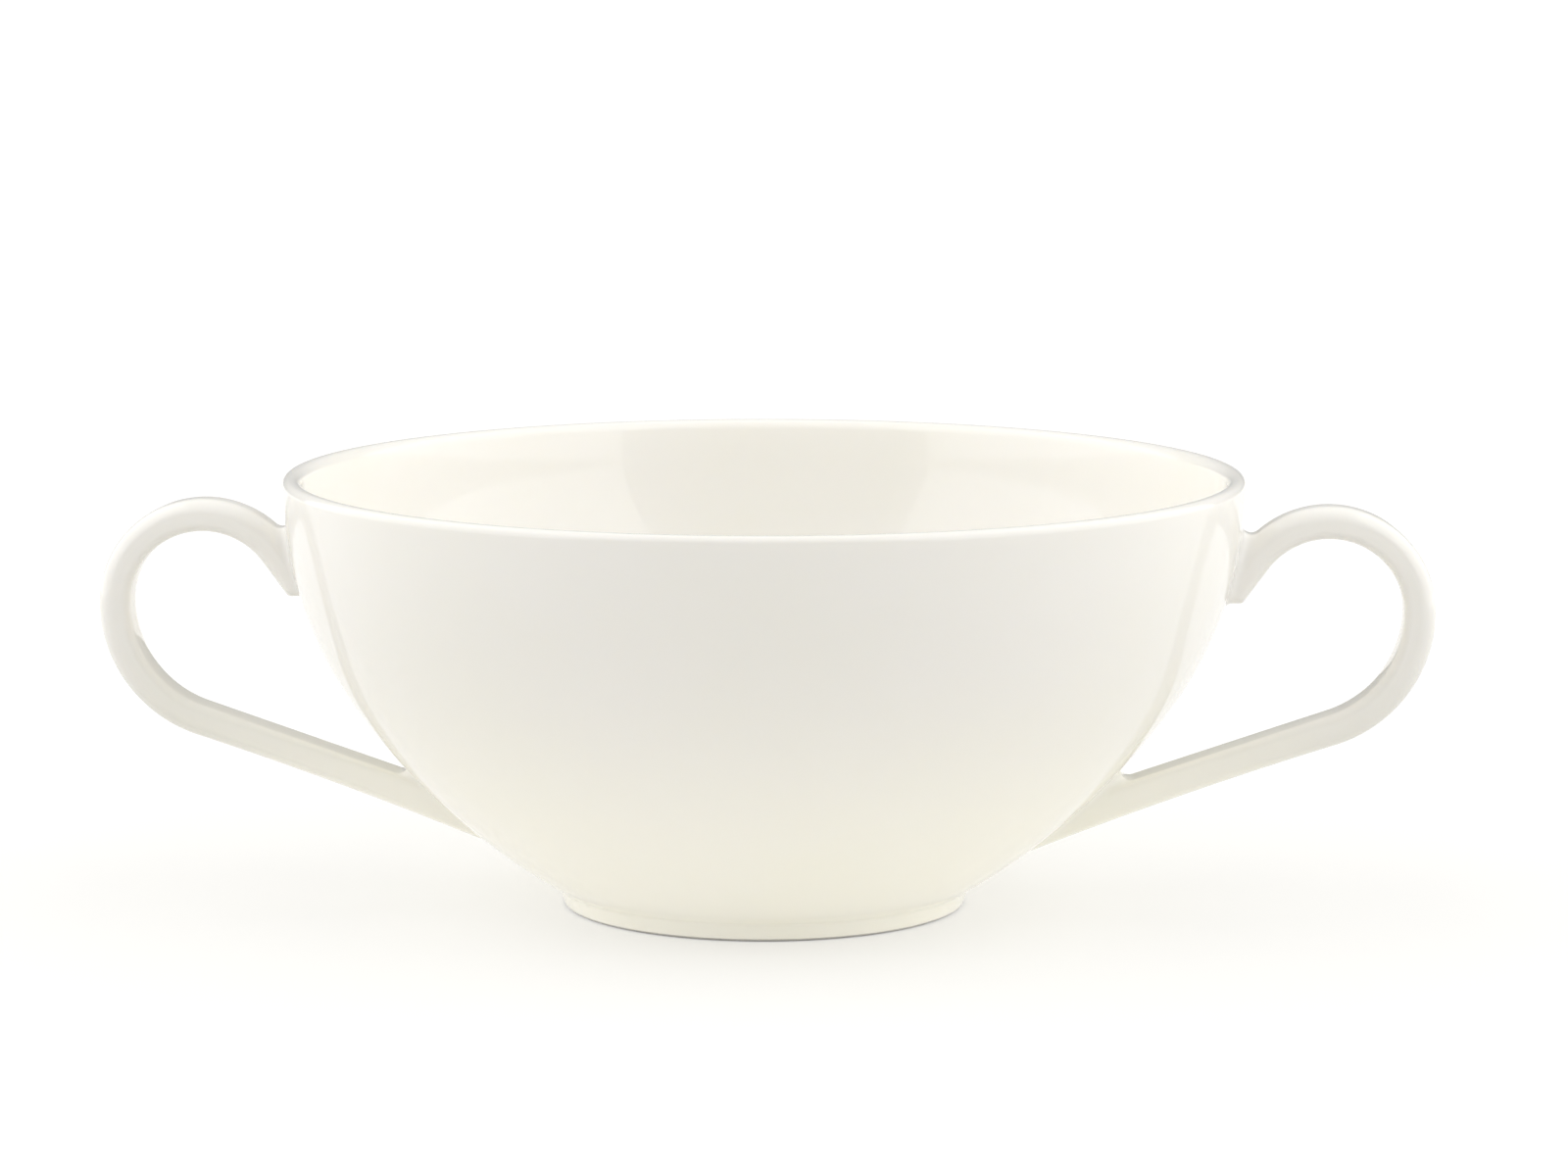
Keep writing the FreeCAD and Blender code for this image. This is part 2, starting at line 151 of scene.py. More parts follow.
def glazedChina():
    material = bpy.data.materials.new("glazedChina")
    material.use_nodes = True
    graph = Graph(material.node_tree)
    place = graph.add("ShaderNodeTexCoord", output="Object")
    height = graph.add("ShaderNodeSeparateXYZ", {}, {0: place}, "Z")
    bare = 1.0 - height.between(glaze["bareHeight"], glaze["bareFade"])
    patches = graph.noise(place, glaze["patchScale"], *glaze["patchNoise"]).between(*glaze["patchRange"])
    # painted warm bounce light: the glaze turns warmer towards the bottom of the bowl, mixed with random
    # warmer patches
    low = 1.0 - height.between(glaze["bounceBottom"], glaze["bounceTop"])
    patchesAndBounce = patches * glaze["patchShare"] + low * (1 - glaze["patchShare"])
    body = graph.mixed(patchesAndBounce, glaze["ivory"], glaze["warmPatchesAndBounce"])
    colour = graph.mixed(bare, body, glaze["bare"])
    fine = graph.noise(place, glaze["grainScale"])
    smear = graph.noise(place, glaze["smearScale"], *glaze["smearNoise"]).between(*glaze["smearRange"])
    roughness = glaze["gloss"] + glaze["smear"] * smear + bare * (glaze["bareRoughness"] - glaze["gloss"])
    waves = graph.add("ShaderNodeBump", {}, {
        "Strength": glaze["waveStrength"], "Distance": glaze["waveDepth"],
        "Height": graph.noise(place, glaze["waveScale"])})
    grain = graph.add("ShaderNodeBump", {}, {
        "Strength": 1.0, "Distance": glaze["grainDepth"], "Height": fine * bare, "Normal": waves})
    shader = graph.add("ShaderNodeBsdfPrincipled", {}, {
        "Base Color": colour, "Roughness": roughness, "Normal": grain, "IOR": glaze["refraction"],
        "Subsurface Weight": glaze["scatter"], "Subsurface Radius": glaze["scatterColour"],
        "Subsurface Scale": glaze["scatterDepth"]})
    graph.add("ShaderNodeOutputMaterial", {}, {"Surface": shader})
    return material


china = glazedChina()
print("material: glazed china")


# Section arithmetic, in metres and degrees

def polar(centre, radius, angle):
    return (
        centre[0] + radius * math.cos(math.radians(angle)),
        centre[1] + radius * math.sin(math.radians(angle)),
    )


def direction(start, end):
    return math.degrees(math.atan2(end[1] - start[1], end[0] - start[0]))


def corner(opposite, first, second):
    # angle of a triangle between two sides
    return math.degrees(math.acos((first ** 2 + second ** 2 - opposite ** 2) / (2 * first * second)))


def arcPoints(centre, radius, first, last, step):
    count = max(3, math.ceil(math.radians(abs(last - first)) * radius / step))
    return [polar(centre, radius, first + (last - first) * i / count) for i in range(count + 1)]


def roundedCorner(before, point, after, radius, steps):
    # an arc that touches both lines of a corner
    towards = [Vector(other) - Vector(point) for other in (before, after)]
    towards = [vector.normalized() for vector in towards]
    half = towards[0].angle(towards[1]) / 2
    centre = Vector(point) + (towards[0] + towards[1]).normalized() * radius / math.sin(half)
    touching = [Vector(point) + vector * radius / math.tan(half) for vector in towards]
    first, last = (direction(centre, touch) for touch in touching)
    turn = (last - first + 180) % 360 - 180
    return [polar(centre, radius, first + turn * i / steps) for i in range(steps + 1)]


# Bowl: an outline turned about the cup's axis

bowl = {
    "rimRadius": 0.0640,
    "rimHeight": 0.0580,
    "flare": 4.5,
    "upperWall": 0.0058,
    "shoulderRadius": 0.0490,
    "bowlRadius": 0.0900,
    "wall": 0.0026,
    "lipOuterRound": 0.0010,
    "lipInnerRound": 0.0014,
    "floor": 0.0036,
    "wellRadius": 0.0240,
    "footRadius": 0.0268,
    "footTaper": 0.0007,
    "footHeight": 0.0024,
    "footWidth": 0.0030,
    "footRecess": 0.0020,
    "footRound": 0.0007,
    "footHollow": 0.0009,      # soft corner where the ring meets the bowl
    "pointStep": 0.0012,
    "floorSteps": 12,
    "lipSteps": 10,
    "footSteps": 7,
    "hollowSteps": 6,
    "stepsAround": 256,
    "weld": 1e-6,
}


def wallForm():
    # centres and turns of the outer wall's two arcs
    flare = bowl["flare"]
    lean = bowl["upperWall"] * math.tan(math.radians(flare))
    shoulder = (bowl["rimRadius"] - lean, bowl["rimHeight"] - bowl["upperWall"])
    shoulderCentre = polar(shoulder, bowl["shoulderRadius"], 180 - flare)
    footTop = (bowl["footRadius"] + bowl["footTaper"], bowl["footHeight"])
    reach = bowl["bowlRadius"] - bowl["shoulderRadius"]
    across = math.dist(shoulderCentre, footTop)
    turn = 180 - (direction(shoulderCentre, footTop) - corner(bowl["bowlRadius"], reach, across)) % 360
    return {
        "shoulder": shoulder,
        "shoulderCentre": shoulderCentre,
        "bowlCentre": polar(shoulderCentre, reach, 180 - turn),
        "turn": turn,
        "footTop": footTop,
    }


wall = wallForm()


def bowlOutline():
    # from the floor's middle, up the inside, over the lip, down the outside, under the foot
    step = bowl["pointStep"]
    thickness = bowl["wall"]
    flare = bowl["flare"]
    rim = bowl["rimHeight"]
    innerBowl = bowl["bowlRadius"] - thickness
    floorHeight = bowl["footRecess"] + bowl["floor"]
    wellReach = innerBowl - bowl["wellRadius"]
    wellDrop = wall["bowlCentre"][1] - floorHeight - bowl["wellRadius"]
    wellTurn = -math.degrees(math.asin(wellDrop / wellReach))
    wellCentre = polar(wall["bowlCentre"], wellReach, wellTurn)
    innerShoulder = bowl["shoulderRadius"] - thickness
    wallTop = (bowl["rimRadius"], rim)
    innerTop = (bowl["rimRadius"] - thickness / math.cos(math.radians(flare)), rim)
    foot = (bowl["footRadius"], 0.0)
    innerFoot = (bowl["footRadius"] - bowl["footWidth"], 0.0)
    recessCorner = (innerFoot[0], bowl["footRecess"])
    recessMiddle = (0.0, bowl["footRecess"])

    floorSteps = bowl["floorSteps"]
    inside = [(wellCentre[0] * i / floorSteps, floorHeight) for i in range(floorSteps)]
    inside += arcPoints(wellCentre, bowl["wellRadius"], -90, wellTurn, step)
    inside += arcPoints(wall["bowlCentre"], innerBowl, wellTurn, -wall["turn"], step)[1:]
    inside += arcPoints(wall["shoulderCentre"], innerShoulder, -wall["turn"], -flare, step)[1:]
    lip = roundedCorner(inside[-1], innerTop, wallTop, bowl["lipInnerRound"], bowl["lipSteps"])
    lip += roundedCorner(innerTop, wallTop, wall["shoulder"], bowl["lipOuterRound"], bowl["lipSteps"])
    footTurn = direction(wall["bowlCentre"], wall["footTop"])
    outside = arcPoints(wall["shoulderCentre"], bowl["shoulderRadius"], -flare, -wall["turn"], step)
    lower = arcPoints(wall["bowlCentre"], bowl["bowlRadius"], -wall["turn"], footTurn, step)
    outside += lower[1:-2]                     # its end gives way to the soft corner at the ring
    hollow = (bowl["footHollow"], bowl["hollowSteps"])
    edge = (bowl["footRound"], bowl["footSteps"])
    ring = roundedCorner(outside[-1], wall["footTop"], foot, *hollow)
    ring += roundedCorner(wall["footTop"], foot, innerFoot, *edge)
    ring += roundedCorner(foot, innerFoot, recessCorner, *edge)
    ring += roundedCorner(innerFoot, recessCorner, recessMiddle, *hollow)
    roof = [(recessCorner[0] * i / floorSteps, bowl["footRecess"]) for i in reversed(range(floorSteps))]
    return inside + lip + outside + ring + roof


def turnedForm():
    # geometry nodes: every point of the outline becomes a ring about Z
    tree = bpy.data.node_groups.new("turnedForm", "GeometryNodeTree")
    for name, kind in (("Outline", "Geometry"), ("Steps Around", "Int"), ("Glaze", "Material")):
        tree.interface.new_socket(name, in_out="INPUT", socket_type="NodeSocket" + kind)
    tree.interface.new_socket("Turned", in_out="OUTPUT", socket_type="NodeSocketGeometry")
    graph = Graph(tree)
    given = graph.add("NodeGroupInput", output="Outline")
    steps = given.also("Steps Around")
    rows = graph.add("GeometryNodeAttributeDomainSize", {"component": "MESH"}, {0: given}, "Point Count")
    grid = graph.add("GeometryNodeMeshGrid", {}, {"Vertices X": rows, "Vertices Y": steps + 1})
    index = graph.add("GeometryNodeInputIndex")
    row = (index / (steps + 1)).floor()
    column = index - row * (steps + 1)
    point = graph.add("GeometryNodeSampleIndex", {"data_type": "FLOAT_VECTOR"}, {
        "Geometry": given, "Value": graph.add("GeometryNodeInputPosition"), "Index": row})
    turned = graph.add("ShaderNodeVectorRotate", {"rotation_type": "Z_AXIS"}, {
        "Vector": point, "Angle": column * (2 * math.pi) / steps})
    placed = graph.add("GeometryNodeSetPosition", {}, {"Geometry": grid, "Position": turned})
    closed = graph.add("GeometryNodeMergeByDistance", {}, {"Geometry": placed, "Distance": bowl["weld"]})
    smooth = graph.add("GeometryNodeSetShadeSmooth", {}, {"Geometry": closed})
    real = graph.add("GeometryNodeRealizeInstances", {}, {"Geometry": smooth})
    glazed = graph.add("GeometryNodeSetMaterial", {}, {"Geometry": real, "Material": given.also("Glaze")})
    graph.add("NodeGroupOutput", {}, {"Turned": glazed})
    return tree


def madeReal(piece):
    # the evaluated shape as a plain mesh, with the modifiers gone
    evaluated = piece.evaluated_get(bpy.context.evaluated_depsgraph_get())
    mesh = bpy.data.meshes.new_from_object(evaluated)
    piece.modifiers.clear()
    piece.data = mesh
    return piece


def turnedBowl():
    points = [(out, 0.0, up) for out, up in bowlOutline()]
    edges = [(i, i + 1) for i in range(len(points) - 1)]
    mesh = bpy.data.meshes.new("bowlOutline")
    mesh.from_pydata(points, edges, [])
    piece = bpy.data.objects.new("bowl", mesh)
    bpy.context.collection.objects.link(piece)
    modifier = piece.modifiers.new("turned", "NODES")
    modifier.node_group = turnedForm()
    given = {"Steps Around": bowl["stepsAround"], "Glaze": china}
    for socket in modifier.node_group.interface.items_tree:
        if socket.name in given:
            modifier[socket.identifier] = given[socket.name]
    return madeReal(piece)


cup = turnedBowl()
print("bowl:", len(cup.data.polygons), "faces")


# Handles: a rounded strap between two paired lines, blended into the wall by a rolling ball

handle = {
    "width": 0.0066,
    "thickness": 0.0043,
    "archRadius": 0.0142,
    "heelRadius": 0.0187,
    "tailRadius": 0.600,
    "loopDrop": 0.0181,
    "rootSink": 0.0032,
    "archEnd": 160.0,            # the arch runs on into the wall to this angle
    "tongueReach": 0.0169,
    "tongueTipIn": 0.0004,
    "tongueRound": 0.0007,
    "tongueSink": 0.0031,        # how far inside the rim's cylinder the blunt end starts
    "tailSink": 0.0008,
    "tailEndHeight": 0.0052,
    "tailTopHeight": 0.0150,
    "outerRound": 0.0020,
    "innerRound": 0.0011,
    "crown": 0.00012,            # faces fall this much towards their edges
    "rootBall": 0.0013,
    "tailBall": 0.0013,
    "skirt": 0.0005,             # thin margin that dips under the wall's surface
    "skirtDip": 0.00002,
    "skirtOuter": 1.6,           # its outer edge, in skirts and dips
    "plug": 0.0009,              # depth of the hidden end inside the wall
    "linePoint": 0.00008,        # fineness of the two lines
    "rowsPerMetre": 9000,        # and of the surface that the ball rolls on
    "upperEnd": 0.26,            # shares of the way round where the plain middle starts
    "tailStart": 0.66,           # and ends
    "upperRings": 44,
    "middleRings": 75,
    "tailRings": 40,
    "upperCrowding": 1.5,        # rings crowd towards the roots by these powers
    "tailCrowding": 1.4,
    "blendSteps": 10,
    "outerSteps": 9,
    "innerSteps": 7,
    "flatSteps": 6,
    "tongueSteps": 12,
}


def spread(points, count):
    # count points at even spacing along a polyline
    points = np.array(points)
    along = np.concatenate([[0.0], np.cumsum(np.linalg.norm(np.diff(points, axis=0), axis=1))])
    wanted = np.linspace(0.0, along[-1], count)
    return np.stack([np.interp(wanted, along, points[:, axis]) for axis in (0, 1)], axis=1), along[-1]


def strapLines(perMetre):
    # outer and inner line of the handle's side view, paired point by point from the upper root to the tail
    arch = handle["archRadius"]
    heel = handle["heelRadius"]
    innerArch = arch - handle["thickness"]
    innerHeel = heel - handle["thickness"]
    fine = handle["linePoint"]
    archCentre = (bowl["rimRadius"] + arch - handle["rootSink"], bowl["rimHeight"] - handle["loopDrop"])
    heelCentre = (archCentre[0] + arch - heel, archCentre[1])
    tip = (bowl["rimRadius"] - handle["tongueTipIn"], bowl["rimHeight"] - handle["tongueReach"])
    bluntEnd = (bowl["rimRadius"] - handle["tongueSink"], tip[1])
    archTurn = direction(archCentre, tip) - math.degrees(math.acos(innerArch / math.dist(archCentre, tip)))
    faceTop = polar(archCentre, innerArch, archTurn)

    sunk = bowl["bowlRadius"] - handle["tailSink"]
    tailEnd, tailTop = (
        (wall["bowlCentre"][0] + math.sqrt(sunk ** 2 - (height - wall["bowlCentre"][1]) ** 2), height)
        for height in (handle["tailEndHeight"], handle["tailTopHeight"])
    )
    tailReach = heel + handle["tailRadius"]
    toEnd = math.dist(heelCentre, tailEnd)
    heelTurn = direction(heelCentre, tailEnd) + corner(handle["tailRadius"], tailReach, toEnd)
    tailCentre = polar(heelCentre, tailReach, heelTurn)
    toTop = math.dist(heelCentre, tailTop)
    innerHeelTurn = direction(heelCentre, tailTop) + math.degrees(math.acos(innerHeel / toTop))
    tailLast = direction(tailCentre, tailEnd)

    tongue = roundedCorner(bluntEnd, tip, faceTop, handle["tongueRound"], handle["tongueSteps"])
    zones = [
        (
            arcPoints(archCentre, arch, handle["archEnd"], archTurn, fine),
            [bluntEnd, *tongue, faceTop],
        ),
        (
            arcPoints(archCentre, arch, archTurn, 0, fine),
            arcPoints(archCentre, innerArch, archTurn, 0, fine),
        ),
        (
            arcPoints(heelCentre, heel, 0, heelTurn, fine),
            arcPoints(heelCentre, innerHeel, 0, innerHeelTurn, fine),
        ),
        (
            arcPoints(tailCentre, handle["tailRadius"], 180 + heelTurn, tailLast, fine),
            [polar(heelCentre, innerHeel, innerHeelTurn), tailTop],
        ),
    ]
    outer = []
    inner = []
    for outerZone, innerZone in zones:
        length = (spread(outerZone, 2)[1] + spread(innerZone, 2)[1]) / 2
        count = math.ceil(length * perMetre)
        outer.append(spread(outerZone, count)[0][1 if outer else 0:])
        inner.append(spread(innerZone, count)[0][1 if inner else 0:])
    return np.concatenate(outer), np.concatenate(inner)


def strapSection(thickness):
    # points round the strap: across the outer face, down one side, across the inner face and up
    halfWidth = handle["width"] / 2
    half = thickness / 2
    outer = (handle["outerRound"], handle["outerSteps"])
    inner = (handle["innerRound"], handle["innerSteps"])
    corners = [(1, 1, *outer), (1, -1, *inner), (-1, -1, *inner), (-1, 1, *outer)]
    centres = [(right * (halfWidth - radius), top * (half - radius)) for right, top, radius, _ in corners]
    flat = handle["flatSteps"]
    points = []
    for number, (_, _, radius, steps) in enumerate(corners):
        first = 90 - 90 * number
        points += [polar(centres[number], radius, first - 90 * i / steps) for i in range(steps + 1)]
        following = (number + 1) % 4
        start = points[-1]
        end = polar(centres[following], corners[following][2], first - 90)
        points += [
            (start[0] + (end[0] - start[0]) * i / flat, start[1] + (end[1] - start[1]) * i / flat)
            for i in range(1, flat)
        ]
    points = np.array(points)
    across = points[:, 0] / halfWidth
    up = points[:, 1] / half
    points[:, 0] -= handle["crown"] * across * up ** 2
    points[:, 1] -= handle["crown"] * up * across ** 2
    return points


def strapSurface(perMetre):
    # a grid of points: one row for each pair of the two lines, one column for each point of the section
    outer, inner = strapLines(perMetre)
    rows = []
    for high, low in zip(outer, inner):
        across = high - low
        thickness = np.linalg.norm(across)
        section = strapSection(thickness)
        middle = (high + low) / 2
        lift = across / thickness
        rows.append(np.stack([
            middle[0] + section[:, 1] * lift[0],
            section[:, 0],
            middle[1] + section[:, 1] * lift[1],
        ], axis=1))
    return np.array(rows)


def wallNormal(points):
    # the outer wall's outward direction at the foot of each point, and the point's distance from it
    out = np.hypot(points[..., 0], points[..., 1])
    up = points[..., 2]
    fromShoulder = np.stack([out - wall["shoulderCentre"][0], up - wall["shoulderCentre"][1]], axis=-1)
    fromBowl = np.stack([out - wall["bowlCentre"][0], up - wall["bowlCentre"][1]], axis=-1)
    angle = np.degrees(np.arctan2(fromShoulder[..., 1], fromShoulder[..., 0]))
    low = (angle < -wall["turn"])[..., None]
    high = (angle > -bowl["flare"])[..., None]
    flat = np.where(low, fromBowl, fromShoulder)
    reach = np.linalg.norm(flat, axis=-1, keepdims=True)
    distance = reach[..., 0] - np.where(low[..., 0], bowl["bowlRadius"], bowl["shoulderRadius"])
    flat = flat / reach
    lean = np.array(polar((0.0, 0.0), 1.0, -bowl["flare"]))
    straight = (np.stack([out, up], axis=-1) - np.array(wall["shoulder"])) @ lean
    distance = np.where(high[..., 0], straight, distance)
    flat = np.where(high, lean, flat)
    around = points[..., :2] / out[..., None]
    return np.concatenate([around * flat[..., :1], flat[..., 1:]], axis=-1), distance


def surfaceNormals(grid):
    along = np.gradient(grid, axis=0)
    around = (np.roll(grid, -1, axis=1) - np.roll(grid, 1, axis=1)) / 2
    normals = np.cross(along, around)
    normals /= np.linalg.norm(normals, axis=2, keepdims=True)
    outward = grid - grid.mean(axis=1, keepdims=True)
    if (normals * outward).sum() < 0:
        normals = -normals
    return normals


def sampled(grid, rows):
    # grid points at a fractional row for each column
    low = np.clip(np.floor(rows).astype(int), 0, len(grid) - 2)
    part = (rows - low)[:, None]
    columns = np.arange(grid.shape[1])
    return grid[low, columns] * (1 - part) + grid[low + 1, columns] * part


def ballContact(grid, normals, radius, start, stop):
    # for each column, the row between start and stop where a ball on the strap also touches the wall
    found = np.empty(grid.shape[1])
    gap = wallNormal(grid + radius * normals)[1] - radius
    order = range(start, stop, 1 if stop > start else -1)
    for column in range(grid.shape[1]):
        last = start
        for row in order:
            if gap[row, column] < 0:
                break
            last = row
        reach = gap[last, column] / (gap[last, column] - gap[row, column])
        found[column] = last + (row - last) * reach
    return found


def blendRings(grid, normals, rows, radius, steps):
    # rings from the strap over the ball's arc on to the wall, then a margin under it and a hidden end
    contact = sampled(grid, rows)
    facing = sampled(normals, rows)
    facing /= np.linalg.norm(facing, axis=1, keepdims=True)
    centre = contact + radius * facing
    towards = -wallNormal(centre)[0]
    start = -facing
    angle = np.arccos(np.clip((start * towards).sum(axis=1), -1, 1))[:, None]
    rings = []
    for i in range(steps + 1):
        part = i / steps
        spoke = (np.sin((1 - part) * angle) * start + np.sin(part * angle) * towards) / np.sin(angle)
        rings.append(centre + radius * spoke)
    away = (towards * np.cos(angle) - start) / np.sin(angle)
    edge = handle["skirtOuter"]
    dip = handle["skirtDip"]
    for reach, depth in ((1.0, dip), (edge, edge * dip), (edge, handle["plug"])):
        ring = rings[steps] + away * handle["skirt"] * reach
        outward, distance = wallNormal(ring)
        rings.append(ring - outward * (distance + depth)[:, None])
    return rings


def handleRings():
    # from the upper root's blend, round the loop, to the tail's blend
    grid = strapSurface(handle["rowsPerMetre"])
    normals = surfaceNormals(grid)
    last = len(grid) - 1
    upperEnd = round(handle["upperEnd"] * last)
    tailStart = round(handle["tailStart"] * last)
    upperRows = ballContact(grid, normals, handle["rootBall"], upperEnd, 0)
    tailRows = ballContact(grid, normals, handle["tailBall"], tailStart, last)
    upperBlend = blendRings(grid, normals, upperRows, handle["rootBall"], handle["blendSteps"])
    rings = list(reversed(upperBlend[1:]))
    for i in range(handle["upperRings"]):
        share = (i / handle["upperRings"]) ** handle["upperCrowding"]
        rings.append(sampled(grid, upperRows + (upperEnd - upperRows) * share))
    for row in np.linspace(upperEnd, tailStart, handle["middleRings"] + 1)[:-1]:
        rings.append(sampled(grid, np.full(grid.shape[1], row)))
    for i in range(handle["tailRings"]):
        share = (1 - i / handle["tailRings"]) ** handle["tailCrowding"]
        rings.append(sampled(grid, tailRows + (tailStart - tailRows) * share))
    rings += blendRings(grid, normals, tailRows, handle["tailBall"], handle["blendSteps"])
    return np.array(rings)


def handleMesh():
    rings = handleRings()
    count, around, _ = rings.shape
    points = rings.reshape(-1, 3).tolist()
    faces = []
    for row in range(count - 1):
        for column in range(around):
            following = (column + 1) % around
            a, b = row * around + column, row * around + following
            faces.append((a, b, b + around, a + around))
    for row in (0, count - 1):
        middle = len(points)
        points.append(rings[row].mean(axis=0).tolist())
        ring = [row * around + column for column in range(around)]
        for column in range(around):
            pair = (ring[column], ring[(column + 1) % around])
            faces.append((middle, *reversed(pair)) if row == 0 else (middle, *pair))
    return points, faces


def signedVolume(points, faces):
    points = np.array(points)
    total = 0.0
    for face in faces:
        a, b, c = (points[i] for i in face[:3])
        total += np.dot(a, np.cross(b, c))
        if len(face) == 4:
            total += np.dot(a, np.cross(c, points[face[3]]))
    return total / 6


def addHandles(piece):
    # both handles join the bowl's mesh: one is the other's mirror image
    points, faces = handleMesh()
    if signedVolume(points, faces) < 0:
        faces = [tuple(reversed(face)) for face in faces]
    allPoints = [tuple(vertex.co) for vertex in piece.data.vertices]
    allFaces = [tuple(polygon.vertices) for polygon in piece.data.polygons]
    if signedVolume(allPoints, allFaces) < 0:
        allFaces = [tuple(reversed(face)) for face in allFaces]
    for side in (1, -1):
        first = len(allPoints)
        allPoints += [(side * x, y, z) for x, y, z in points]
        turned = faces if side == 1 else [tuple(reversed(face)) for face in faces]
        allFaces += [tuple(first + i for i in face) for face in turned]
    mesh = bpy.data.meshes.new("bouillonCup")
    mesh.from_pydata(allPoints, [], allFaces)
    mesh.shade_smooth()
    mesh.materials.append(china)
    piece.data = mesh
    piece.name = "bouillonCup"


addHandles(cup)
print("cup with handles:", len(cup.data.polygons), "faces")
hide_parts("bouillon_cup")
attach(cup, "root")


# Pale floor, a plain white surround and soft panels

studio = {
    "floorHalf": 4.0,
    "floorColour": (0.55, 0.545, 0.53, 1.0),
    "nearLift": 0.40,            # glow for the camera and the glaze alone, so the lit floor is white
    "farLift": 0.66,
    "nearReach": 0.00,           # the lift grows between these distances from the cup
    "farReach": 1.50,
    "backdrop": (1.0, 1.0, 1.0, 1.0),
    "ambient": (1.0, 0.995, 0.985, 1.0),
    "ambientStrength": 0.83,
    "cameraSide": 0.50,          # the room behind the camera is this much as bright as the rest
    "cameraSideFrom": -0.92,     # it brightens between these directions along Y
    "cameraSideTo": -0.60,
    "mirrored": 0.74,            # what the glaze reflects of the room
    "mirroredBack": 0.35,        # and of its dim back, above the floor
    "backFrom": 0.35,            # it dims between these directions along Y
    "backTo": 0.80,
}

sidePanels = {
    "out": 0.60,                 # from the cup's axis
    "front": -0.64,
    "back": 0.50,
    "height": 0.90,
    "lean": 14.0,                # inwards at the top
    "glow": 0.97,
}

tableCard = {                    # the pale table's bounce, from just above the floor
    "height": 0.0004,
    "width": 0.16,
    "depth": 0.21,
    "glow": 0.36,
    "colour": (1.0, 0.985, 0.92),
}


def paleFloor():
    half = studio["floorHalf"]
    mesh = bpy.data.meshes.new("floor")
    corners = [(-half, -half, 0), (half, -half, 0), (half, half, 0), (-half, half, 0)]
    mesh.from_pydata(corners, [], [(0, 1, 2, 3)])
    floor = bpy.data.objects.new("floor", mesh)
    bpy.context.collection.objects.link(floor)
    material = bpy.data.materials.new("paleFloor")
    material.use_nodes = True
    graph = Graph(material.node_tree)
    rays = graph.add("ShaderNodeLightPath", output="Is Camera Ray")
    seen = (rays + rays.also("Is Glossy Ray") + rays.also("Is Transmission Ray")).clamped()
    place = graph.add("ShaderNodeTexCoord", output="Object")
    reach = graph.add("ShaderNodeVectorMath", {"operation": "LENGTH"}, {0: place}, "Value")
    far = reach.between(studio["nearReach"], studio["farReach"])
    lift = studio["nearLift"] + far * (studio["farLift"] - studio["nearLift"])
    matte = graph.add("ShaderNodeBsdfDiffuse", {}, {"Color": studio["floorColour"]})
    glow = graph.add("ShaderNodeEmission", {}, {"Strength": seen * lift})
    both = graph.add("ShaderNodeAddShader", {}, {0: matte, 1: glow})
    graph.add("ShaderNodeOutputMaterial", {}, {"Surface": both})
    mesh.materials.append(material)


def whiteWorld():
    world = bpy.data.worlds.new("surround")
    bpy.context.scene.world = world
    world.use_nodes = True
    graph = Graph(world.node_tree)
    rays = graph.add("ShaderNodeLightPath", output="Is Camera Ray")
    reflected = (rays.also("Is Glossy Ray") + rays.also("Is Transmission Ray")).clamped()
    towards = graph.add("ShaderNodeTexCoord", output="Generated")
    depth = graph.add("ShaderNodeSeparateXYZ", {}, {0: towards}, "Y")
    front = depth.between(studio["cameraSideFrom"], studio["cameraSideTo"])
    room = studio["cameraSide"] + (1 - studio["cameraSide"]) * front
    lighting = graph.add("ShaderNodeBackground", {}, {
        "Color": studio["ambient"], "Strength": room * studio["ambientStrength"]})
    back = depth.between(studio["backFrom"], studio["backTo"])
    glossed = room * studio["mirrored"] + back * (studio["mirroredBack"] - studio["mirrored"])
    mirrored = graph.add("ShaderNodeBackground", {}, {"Color": studio["backdrop"], "Strength": glossed})
    backdrop = graph.add("ShaderNodeBackground", {}, {"Color": studio["backdrop"], "Strength": 1.0})
    indirect = graph.add("ShaderNodeMixShader", {}, {0: reflected, 1: lighting, 2: mirrored})
    chosen = graph.add("ShaderNodeMixShader", {}, {0: rays, 1: indirect, 2: backdrop})
    graph.add("ShaderNodeOutputWorld", {}, {"Surface": chosen})


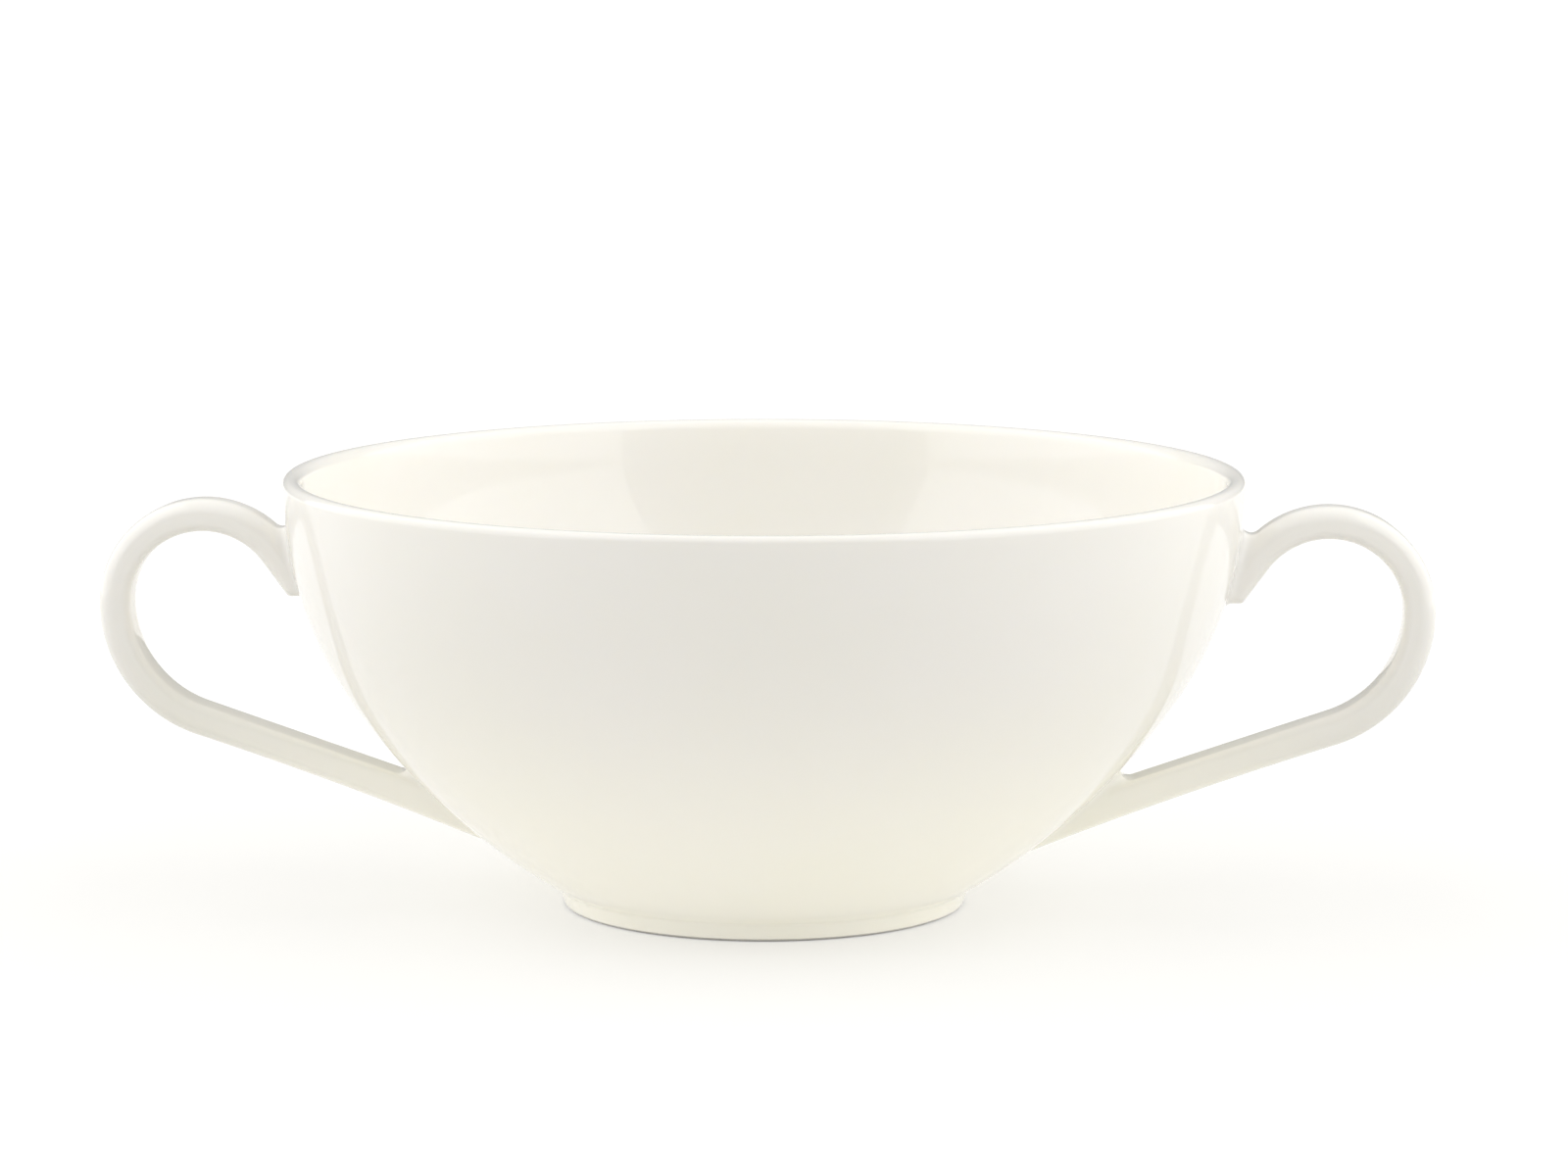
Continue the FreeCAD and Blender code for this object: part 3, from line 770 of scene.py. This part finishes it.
def addPanel(name, place, turn, width, height, glow):
    # a large soft panel that faces the cup; its glow is its brightness
    light = bpy.data.lights.new(name, "AREA")
    light.shape = "RECTANGLE"
    light.size = width
    light.size_y = height
    light.energy = glow * math.pi * width * height
    lamp = bpy.data.objects.new(name, light)
    lamp.location = place
    lamp.rotation_euler = turn
    bpy.context.collection.objects.link(lamp)
    return lamp


def addPanels():
    upright = math.radians(90)
    lean = math.radians(sidePanels["lean"])
    width = sidePanels["back"] - sidePanels["front"]
    middle = (sidePanels["back"] + sidePanels["front"]) / 2
    height = sidePanels["height"]
    for side in (1, -1):
        out = sidePanels["out"] - height / 2 * math.sin(lean)
        place = (side * out, middle, height / 2 * math.cos(lean))
        turn = (upright - lean, 0, upright * side)
        addPanel("sidePanel", place, turn, width, height, sidePanels["glow"])
    low = (0, 0, tableCard["height"])
    faceUp = (math.pi, 0, 0)
    card = addPanel("tableCard", low, faceUp, tableCard["width"], tableCard["depth"], tableCard["glow"])
    card.data.shape = "ELLIPSE"
    card.data.color = tableCard["colour"]
    card.visible_camera = False
    card.visible_glossy = False


paleFloor()
whiteWorld()
addPanels()
print("floor, surround and soft panels")


# Camera at the photograph's place

view = {
    "distance": 0.6716,          # from the cup's axis
    "height": 0.1410,
    "azimuth": 3.0,
    "pitch": 8.35,
    "focalPixels": 5189.0,
    "pictureWidth": 1600.0,
    "axisPixel": 779.57,         # where the cup's axis falls across the picture
    "sensor": 36.0,
    "nearest": 0.01,
}


def addCamera():
    azimuth = math.radians(view["azimuth"])
    camera = bpy.data.cameras.new("camera")
    camera.sensor_width = view["sensor"]
    camera.lens = view["focalPixels"] / view["pictureWidth"] * view["sensor"]
    camera.shift_x = (view["pictureWidth"] / 2 - view["axisPixel"]) / view["pictureWidth"]
    camera.clip_start = view["nearest"]
    stand = bpy.data.objects.new("camera", camera)
    stand.location = (
        view["distance"] * math.sin(azimuth), -view["distance"] * math.cos(azimuth), view["height"])
    stand.rotation_euler = (math.radians(90 - view["pitch"]), 0, azimuth)
    bpy.context.collection.objects.link(stand)
    bpy.context.scene.camera = stand


addCamera()
bpy.context.scene.view_settings.view_transform = "Standard"
print("camera placed")
